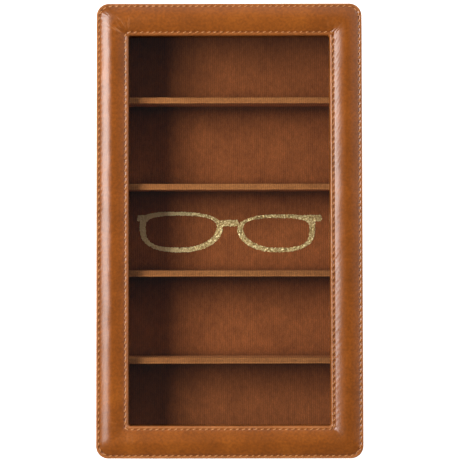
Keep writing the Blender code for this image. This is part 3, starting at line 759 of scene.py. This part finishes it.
def build_lid_leather():
    """The padded leather border: crowned, creased at its corners, and drawn in along two stitch lines."""
    profile, show = lid_leather_profile()
    corners = [lid_corner(inset) for inset, _ in profile]
    points = swept_ring(profile, LID_HALF, corners, FINE_STEP)
    insets = np.array(profile)[:, :1]
    x, y = points[..., 0], points[..., 1]
    sunk = np.zeros_like(x)
    shade = np.ones_like(x)
    gape, gape_change = HOLE_GAPE
    for line, gaping_side in ((STITCH_MARGIN, -1), (INNER_STITCH, 1)):
        places, lengths, _, pitch = stitch_line(line)
        ahead = np.roll(places, -1, axis=0) - np.roll(places, 1, axis=0)
        leaning = lean(np.arctan2(ahead[:, 1], ahead[:, 0]))
        shear = HOLE_SHEAR * leaning
        away = insets - line
        phase = (lengths - shear * away) / pitch
        hole = np.cos(math.pi * phase) ** 2
        tightness = np.where(places[:, 0] * gaping_side > 0, 1, TIGHT_HOLE)
        slit = bell(away, HOLE_WIDTH) * hole ** HOLE_SHARPNESS
        slit = slit * (gape - gape_change * leaning) * tightness
        sunk += CHANNEL_DEPTH * bell(away, CHANNEL_WIDTH) + HOLE_DEPTH * slit
        uneven = 1 + waves(x, y, PUCKER_CHANGE)
        sunk += PUCKER * np.exp(-np.abs(away) / PUCKER_REACH) * np.cos(2 * math.pi * phase) * uneven
        # Painted shade in the stitch channels and holes
        shade -= CHANNEL_SHADE * bell(away, CHANNEL_WIDTH) + HOLE_SHADE * slit
    puffed = crown(insets) / CROWN_RISE
    creases = crease_depth(x, y) * puffed
    sunk += creases
    for size in SOFT_SWELLS:
        sunk -= waves(x, y, size) * puffed
    shown = (np.arange(len(profile)) < show)[:, None]
    flat_part = (insets > EDGE_ROUND) & (insets < BORDER - LIP_FREE) & shown
    points[..., 2] -= sunk * flat_part
    # Wear and painted light along the lip and the edge, lighter on the sides that face the lights
    wear = wear_and_light_line(insets, BORDER, LIP_WEAR_AND_LIGHT, y, np.abs(y) > LID_HALF_Y - BORDER - CORNER_REACH)
    wear = wear + wear_and_light_line(insets, 0, EDGE_WEAR_AND_LIGHT, x, np.abs(x) > LID_HALF_X - STITCH_MARGIN)
    change = WEAR_CHANGE[0]
    wear = wear * shown * (1 - change + waves(x, y, WEAR_CHANGE, WEAR_WAVES).clip(-change, change))
    wear = wear + CREASE_WEAR * (creases / CREASE_DEPTH).clip(0, 1)
    # Painted shade on the lip's turned-down face
    turned = (insets > BORDER - SAME_PLACE) & (points[..., 2] < top_height(BORDER) - LIP_DROP)
    shade = np.where(turned, TURNED_SHADE, shade)
    leather = make_piece("padded_lid_leather", points, tube_faces(*points.shape[:2]),
                         "lid_leather", "lid", "lid_top_leather",
                         shade=shade.clip(0, 1), wear=wear.clip(0, 1))


def build_padding():
    """The foam ring that fills out the crown."""
    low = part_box("lid_padding")[0].z
    start, end = STITCH_MARGIN + FOAM_MARGIN, INNER_STITCH - FOAM_MARGIN
    insets = np.linspace(start, end, FOAM_ROWS)
    top = [(inset, low + max(crown(inset) - FOAM_EASING, FOAM_LEAST)) for inset in insets]
    profile = [(start, low), *top, (end, low)]
    corners = [lid_corner(inset) for inset, _ in profile]
    points = swept_ring(profile, LID_HALF, corners, FOAM_STEP)
    points[1:-1, :, 2] += waves(points[1:-1, :, 0], points[1:-1, :, 1], FOAM_SWELL)
    foam = make_piece("lid_foam", points, tube_faces(*points.shape[:2]), "foam", "lid", "lid_padding")


def rounded_profile(corner_points, radius, steps=4):
    """A closed outline whose corners are rounded off where a radius is given for them."""
    rounded = []
    count = len(corner_points)
    for index, (here, size) in enumerate(zip(corner_points, radius)):
        here = np.array(here)
        if not size:
            rounded.append(here)
            continue
        before = np.array(corner_points[index - 1])
        after = np.array(corner_points[(index + 1) % count])
        start = here + (before - here) / np.linalg.norm(before - here) * size
        end = here + (after - here) / np.linalg.norm(after - here) * size
        for share in np.linspace(0, 1, steps + 1):
            rounded.append((1 - share) ** 2 * start + 2 * share * (1 - share) * here + share ** 2 * end)
    return rounded


def subdivided(outline, longest):
    """An outline with no stretch longer than a length."""
    points = []
    for here, there in zip(outline, outline[1:] + outline[:1]):
        away = np.array(there) - here
        parts = max(1, math.ceil(np.linalg.norm(away) / longest))
        points += [tuple(here + away * part / parts) for part in range(parts)]
    return points


def build_skin_ring(name, outline, half, corner, step, finish, body, node, tooled=()):
    """A leather or suede ring with slightly uneven faces and tooled lines at some heights."""
    profile = subdivided(outline, SKIN_STEP)
    corners = [max(corner - inset, LEAST_CORNER) for inset, _ in profile]
    points = swept_ring(profile, half, corners, step)
    insets, heights = np.hsplit(np.array(profile), 2)
    outward = np.stack((points[..., 0] / half[0], points[..., 1] / half[1]), axis=-1)
    facing = np.where(np.abs(outward[..., :1]) > np.abs(outward[..., 1:]), (1, 0), (0, 1)) * np.sign(outward)
    sink = SKIN_SWELL[0] + waves(points[..., 0] + points[..., 1], points[..., 2], SKIN_SWELL)
    shade = np.ones_like(sink)
    for line in tooled:
        sink += TOOLED_DEPTH * bell(heights - line, TOOLED_WIDTH)
        shade -= TOOLED_SHADE[0] * bell(heights - line, TOOLED_SHADE[1])
    outer_face = (insets < OUTER_FACE).astype(float)
    points[..., :2] -= facing * (sink * outer_face)[..., None]
    return make_piece(name, points, tube_faces(*points.shape[:2]), finish, body, node,
                      shade=shade.clip(0, 1), wear=np.zeros_like(shade))


def hinge_rooms():
    """Boxes round each hinge, which the leathers leave free."""
    rooms = []
    for where in ("front", "back"):
        low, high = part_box(f"hinge_{where}_base_leaf")
        pin_low, pin_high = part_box(f"hinge_{where}_pin")
        rooms.append((Vector((low.x, pin_low.y, low.z)) - HINGE_ROOM_LOW,
                      Vector((high.x, pin_high.y, high.z)) + HINGE_ROOM_HIGH))
    return rooms


def strip_outline(outer, inner, low, high, radius):
    """The outline of a flat strip between two insets and two heights."""
    return rounded_profile([(outer, low), (outer, high), (inner, high), (inner, low)], radius)


def build_lid_sides():
    """The strip round the lid's sides, and the suede under it."""
    outline = strip_outline(0, LEATHER, LID_SIDE_LOW, LID_SIDE_HIGH, STRIP_CORNERS)
    sides = build_skin_ring("lid_side_strip", outline, LID_HALF, LID_CORNER, SKIN_STEP,
                            "side_leather", "lid", "lid_side_leather",
                            tooled=(LID_SIDE_LOW + LID_TOOLED,))
    low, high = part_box("lid_under_lining")
    edge = LID_HALF_X - high.x
    outline = strip_outline(edge, edge + LINING_WIDTH, low.z, high.z, LINING_CORNERS)
    under = build_skin_ring("lid_underside_suede", outline, LID_HALF, LID_CORNER, WALL_STEP,
                            "lining", "lid", "lid_under_lining")
    for room_low, room_high in hinge_rooms():
        cut_away(sides, room_low, room_high)
        cut_away(under, room_low, room_high)


# ---- base

def build_base_leather():
    """The skin of the base: turned in below, up the walls, and over the rim."""
    rim_inset = BASE_HALF_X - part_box("wall_lining_right")[0].x
    outline = rounded_profile(
        [(BASE_TURN_IN, BASE_LOW), (0, BASE_LOW), (0, RIM_TOP), (rim_inset, RIM_TOP),
         (rim_inset, RIM_TOP - LEATHER), (LEATHER, RIM_TOP - LEATHER), (LEATHER, BASE_LOW + LEATHER),
         (BASE_TURN_IN, BASE_LOW + LEATHER)],
        BASE_CORNERS)
    skin = build_skin_ring("base_leather_wrap", outline, (BASE_HALF_X, BASE_HALF_Y), BASE_CORNER, SKIN_STEP,
                           "side_leather", "base", "base_side_leather",
                           tooled=(RIM_TOP - RIM_TOOLED, BASE_LOW + FOOT_TOOLED))
    for low, high in hinge_rooms():
        cut_away(skin, low, high)


def build_panel(name, node, axis, inward, swell, step=WALL_STEP):
    """A suede sheet on a wall or floor, facing inward along an axis. Swell gives its dips and shade."""
    low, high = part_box(node)
    others = [other for other in range(3) if other != axis]
    spans = [np.linspace(low[other], high[other], max(8, round((high[other] - low[other]) / step)))
             for other in others]
    first, second = np.meshgrid(*spans, indexing="ij")
    near, far = (high[axis], low[axis]) if inward > 0 else (low[axis], high[axis])
    sink, shade = swell(first, second)
    layers = []
    for depth in (near - inward * sink, np.full_like(sink, far)):
        layer = [first, second]
        layer.insert(axis, depth)
        layers.append(np.stack(layer, axis=-1).reshape(-1, 3))
    index = np.arange(first.size).reshape(first.shape)
    quads = np.stack((index[:-1, :-1], index[1:, :-1], index[1:, 1:], index[:-1, 1:]), axis=-1)
    faces = doubled_faces(quads.reshape(-1, 4).tolist(), first.size)
    piece = make_piece(name, np.concatenate(layers), faces, "lining", "base", node,
                       shade=np.tile(shade.ravel(), 2))
    piece.data.set_sharp_from_angle(angle=SHEET_SHARPNESS)


def wall_swell(first, second):
    """Slight unevenness of the suede on the walls."""
    return WALL_SWELL[0] + waves(first, second, WALL_SWELL), np.ones_like(first)


def build_linings():
    """Suede on the four walls and on the floor, a little soft between the dividers."""
    for side, axis, inward in (("left", 0, 1), ("right", 0, -1), ("front", 1, 1), ("back", 1, -1)):
        build_panel(f"wall_suede_{side}", f"wall_lining_{side}", axis, inward, wall_swell)
    build_panel("floor_suede", "floor_lining", 2, 1, floor_swell, FLOOR_STEP)


def divider_middles():
    """Where the dividers stand along the box."""
    boxes = [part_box(f"divider_{number}_suede") for number in DIVIDERS]
    return [(low.y + high.y) / 2 for low, high in boxes]


def floor_swell(x, y):
    """The floor's suede is tucked down beside dividers and walls, with painted shade there and painted shadow
    in front of each divider and the back wall.
    """
    half_x, half_y, _, _ = inset_box("floor_lining")
    gap = np.minimum(half_x - np.abs(x), half_y - np.abs(y))
    behind = half_y - y
    depth, reach = FLOOR_PAINTED_SHADOW[-1]
    for middle, (its_depth, its_reach) in reversed(list(zip(divider_middles(), FLOOR_PAINTED_SHADOW))):
        gap = np.minimum(gap, np.maximum(np.abs(y - middle) - DIVIDER_HALF, 0))
        behind = np.where(y < middle, middle - DIVIDER_HALF - y, behind)
        depth = np.where(y < middle, its_depth, depth)
        reach = np.where(y < middle, its_reach, reach)
    behind = np.maximum(behind, 0)
    tuck = np.exp(-gap / TUCK_WIDTH)
    # Painted shade in the tucks and painted shadow in front of each divider and the back wall
    dark = TUCK_SHADE * tuck + FAR_PAINTED_SHADOW[0] * np.exp(-behind / FAR_PAINTED_SHADOW[1])
    dark = dark + depth * np.exp(-behind / reach) * (1 - np.exp(-behind / FLOOR_SHADOW_START))
    sink = TUCK_DEPTH * tuck
    for size in SOFT_SWELLS:
        sink = sink + size[0] + waves(x, y, size)
    return sink, np.maximum(1 - dark, DARKEST_PAINTED_SHADE)


def build_dividers():
    """Suede folded over each divider's board, soft along its top edges."""
    foot_shade, foot_height = DIVIDER_FOOT
    for number, nap in zip(DIVIDERS, DIVIDER_TOP_SHADE):
        low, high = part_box(f"divider_{number}_suede")
        board_low, board_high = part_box(f"divider_{number}_board")
        middle = (low.y + high.y) / 2
        half = (high.y - low.y) / 2
        inner = (board_high.y - board_low.y) / 2 + DIVIDER_EASING
        inner_top = board_high.z + DIVIDER_EASING
        outline = rounded_profile(
            [(-half, low.z), (-half, high.z), (half, high.z), (half, low.z),
             (inner, low.z), (inner, inner_top), (-inner, inner_top), (-inner, low.z)],
            (0, DIVIDER_BEND, DIVIDER_BEND, 0, 0, DIVIDER_INNER_BEND, DIVIDER_INNER_BEND, 0), steps=6)
        outline = np.array(subdivided(outline, COARSE_STEP))
        stations = np.linspace(low.x, high.x, DIVIDER_STATIONS)
        x, y = np.meshgrid(stations, outline[:, 0], indexing="ij")
        z = np.broadcast_to(outline[:, 1], x.shape)
        on_top = z > high.z - DIVIDER_SOFT_TOP
        slim = np.where(np.abs(y) > inner + DIVIDER_OUTSIDE, DIVIDER_SLIM, 1)
        y = y * (1 + waves(x, z, DIVIDER_WAVER)) * slim
        z = z - (DIVIDER_SWELL[0] + waves(x, y, DIVIDER_SWELL)) * on_top * (z > inner_top)
        points = np.stack((x, y + middle, z), axis=-1)
        shaded_top = (z > high.z - DIVIDER_TOP) & (y > DIVIDER_EDGE - half)
        # Painted shade: darker towards the foot, and darker on the top, which leaves the faces lighter than
        # the top
        shade = 1 - foot_shade * np.exp((low.z - z) / foot_height) - nap * shaded_top
        piece = make_piece(f"divider_wrap_{number}", points, capped_faces(*x.shape), "divider", "base",
                           f"divider_{number}_suede", shade=shade)
        piece.data.set_sharp_from_angle(angle=WRAP_SHARPNESS)


# ---- foil sign

def lens_distance(out, up, span, fullness):
    """Rough distance from the outline of a lens: negative inside it."""
    half_width, rise, drop = span
    upper = np.where(out > 0, fullness[0], fullness[1])
    lower = np.where(out > 0, fullness[2], fullness[3])
    power = np.where(up > 0, upper, lower)
    across = np.abs(out) / half_width
    along = np.abs(up) / np.where(up > 0, rise, drop)
    radius = (across ** power + along ** power) ** (1 / power)
    return np.hypot(out, up) * (1 - 1 / np.maximum(radius, 1e-6))


def bar_distance(x, y, start, end, height):
    """Distance from a bar of the sign with rounded ends."""
    along = np.abs(x - (start + end) / 2) - (end - start) / 2 + SIGN_BAR_CORNER
    across = np.abs(y - height) - SIGN_BAR_STROKE / 2 + SIGN_BAR_CORNER
    return np.hypot(np.maximum(along, 0), np.maximum(across, 0)) - SIGN_BAR_CORNER


def sign_distance(x, y):
    """Negative on the foil: two lens rims, the bridge and the temples' hinge ends."""
    distance = bar_distance(x, y, *SIGN_BRIDGE)
    for side, (place, widest, scale) in ((-1, SIGN_LEFT_LENS), (1, SIGN_RIGHT_LENS)):
        out = side * (x - place)
        up = y - widest
        rim = lens_distance(out, up, SIGN_RIM_SPAN * scale, SIGN_RIM_FULLNESS)
        temple = bar_distance(side * x, y, *SIGN_TEMPLE)
        hole = lens_distance(out, up, SIGN_HOLE_SPAN * scale, SIGN_HOLE_FULLNESS)
        distance = np.minimum(distance, np.maximum(np.minimum(rim, temple), -hole))
    ragged = sum(waves(x, y, size, RAGGED_WAVES) for size in RAGGED_EDGES)
    missed = waves(x, y, MISSED_SPECKS, SPECK_WAVES) - SPECK_RARITY
    return np.maximum(distance + ragged, missed)


def clipped_triangles(x, y, value):
    """The part of a grid where value is negative, as points and faces with clean edges."""
    rows, columns = x.shape
    keys, points, faces = {}, [], []

    def corner(a, b=None):
        key = (a, b) if b is None or a < b else (b, a)
        if key not in keys:
            keys[key] = len(points)
            place = np.array((x[a], y[a]))
            if b is not None:
                share = value[a] / (value[a] - value[b])
                place = place + share * (np.array((x[b], y[b])) - place)
            points.append(place)
        return keys[key]

    for row in range(rows - 1):
        for column in range(columns - 1):
            cell = ((row, column), (row + 1, column), (row + 1, column + 1), (row, column + 1))
            if min(value[spot] for spot in cell) >= 0:
                continue
            for triangle in ((cell[0], cell[1], cell[2]), (cell[0], cell[2], cell[3])):
                face = []
                for here, there in zip(triangle, triangle[1:] + triangle[:1]):
                    if value[here] < 0:
                        face.append(corner(here))
                    if (value[here] < 0) != (value[there] < 0):
                        face.append(corner(here, there))
                if len(face) >= 3:
                    faces.append(face)
    return np.array(points), faces


def build_sign():
    """The gold foil sign, stamped on the middle floor with ragged edges and missed specks."""
    low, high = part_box("foil_spectacles")
    x, y = np.meshgrid(np.arange(low.x - SIGN_MARGIN, high.x + SIGN_MARGIN, SIGN_STEP),
                       np.arange(low.y - SIGN_MARGIN, high.y + SIGN_MARGIN, SIGN_STEP), indexing="ij")
    flat, faces = clipped_triangles(x, y, sign_distance(x, y))
    floor_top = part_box("floor_lining")[1].z
    height = np.full(len(flat), floor_top + FOIL_GAP)
    upper = np.column_stack((flat, height + FOIL_THICKNESS))
    lower = np.column_stack((flat, height))
    # Painted light: the foil is lighter towards its left end
    gleam = np.interp(flat[:, 0], PAINTED_LIGHT_PLACES, PAINTED_LIGHT_LEVELS)
    sign = make_piece("foil_sign", np.concatenate((upper, lower)), doubled_faces(faces, len(flat)), "foil",
                      "base", "foil_spectacles", smooth=False, gleam=np.tile(gleam, 2))


def build_felt():
    """The felt that the box rests on: a flat sheet with a soft edge."""
    half_x, half_y, bottom, top = inset_box("underside_felt")
    edge = [(FELT_EDGE, bottom), (FELT_ROUND, bottom), (0, (bottom + top) / 2), (FELT_ROUND, top),
            (FELT_EDGE, top)]
    corners = [FELT_CORNER - inset for inset, _ in edge]
    points = swept_ring(edge, (half_x, half_y), corners, COARSE_STEP)
    felt = make_piece("underside_felt_sheet", points, capped_faces(*points.shape[:2]), "felt", "base",
                      "underside_felt")
    felt.data.set_sharp_from_angle(angle=SHEET_SHARPNESS)


# ---- CAD nodes that stay

def paint_frame_nodes():
    """Give every CAD node that stays visible its finish."""
    special = {"hinge": "brass", "magnet": "nickel", "keeper": "steel", "glass": "glass"}
    for name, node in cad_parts.items():
        finish = special.get(name.split("_")[0], "fibreboard")
        node.data.materials.clear()
        node.data.materials.append(FINISHES[finish])


# ---- stage

def build_floor():
    """Plain pale floor."""
    mesh = bpy.data.meshes.new("studio_floor")
    corners = [(x * FLOOR_REACH, y * FLOOR_REACH, 0) for x, y in ((-1, -1), (1, -1), (1, 1), (-1, 1))]
    mesh.from_pydata(corners, [], [(0, 1, 2, 3)])
    floor = add_object("studio_floor", mesh)
    finish = Finish("studio_white", Roughness=0.9, Emission_Strength=FLOOR_GLOW)
    finish.shader.inputs["Emission Color"].default_value = (1, 1, 1, 1)
    mesh.materials.append(finish.use(finish.ramp(finish.noise(3), (0.3, 0.90), (0.7, 0.92))))


def add_area_light(name, place, aim, size, radiance):
    """A soft rectangular light that faces a point, with its longer side along Y."""
    data = bpy.data.lights.new(name, "AREA")
    data.shape = "RECTANGLE"
    data.size, data.size_y = size
    data.energy = radiance * math.pi * size[0] * size[1]
    light = add_object(name, data)
    light.location = place
    away = (Vector(place) - Vector(aim)).normalized()
    along = Vector((0, 1, 0))
    along = (along - along.dot(away) * away).normalized()
    light.rotation_euler = Matrix((along.cross(away), along, away)).transposed().to_euler()


def build_lights():
    """A row of softboxes at the left, dimmer towards the front, in a room that is dark overhead."""
    for name, near, far, width, radiance in SOFTBOXES:
        middle = (near + far) / 2
        add_area_light(name, (LIGHT_X, middle, LIGHT_HEIGHT), (0, middle, LIGHT_AIM),
                       (width, far - near), radiance)
    bpy.context.scene.world = bpy.data.worlds.new("studio_room")
    room = Nodes(bpy.context.scene.world)
    direction = room.node("TexCoord").outputs["Generated"]
    total = (0, 0, 0, 1)
    for toward, stops, tint in ROOM_GLOWS:
        share = room.node("VectorMath", operation="DOT_PRODUCT", sockets={0: direction, 1: toward})
        glow = [(place, (*(value * part for part in tint), 1)) for place, value in stops]
        total = room.mix(1, total, room.ramp(share.outputs["Value"], *glow), "ADD")
    room.tree.links.new(total, room.tree.nodes["Background"].inputs["Color"])


def build_camera():
    """Looks straight down, very slightly from the front."""
    data = bpy.data.cameras.new("camera")
    data.lens, data.sensor_width = CAMERA_LENS, CAMERA_SENSOR
    data.clip_start, data.clip_end = CAMERA_CLIP
    data.shift_x, data.shift_y = CAMERA_SHIFT
    camera = add_object("camera", data)
    camera.location = (0, CAMERA_NADIR, EDGE_TOP + CAMERA_DISTANCE)
    camera.rotation_euler = (CAMERA_TILT, 0, CAMERA_ROLL)
    bpy.context.scene.camera = camera
    bpy.context.scene.view_settings.view_transform = "Standard"


def main():
    """Dress the frame and set the stage."""
    paint_frame_nodes()
    build_lid_leather()
    build_stitches("outer_stitches", STITCH_MARGIN, "outer_stitching")
    build_stitches("inner_stitches", INNER_STITCH, "inner_stitching")
    build_padding()
    build_lid_sides()
    build_base_leather()
    build_linings()
    build_dividers()
    build_sign()
    build_felt()
    build_floor()
    build_lights()
    build_camera()


main()
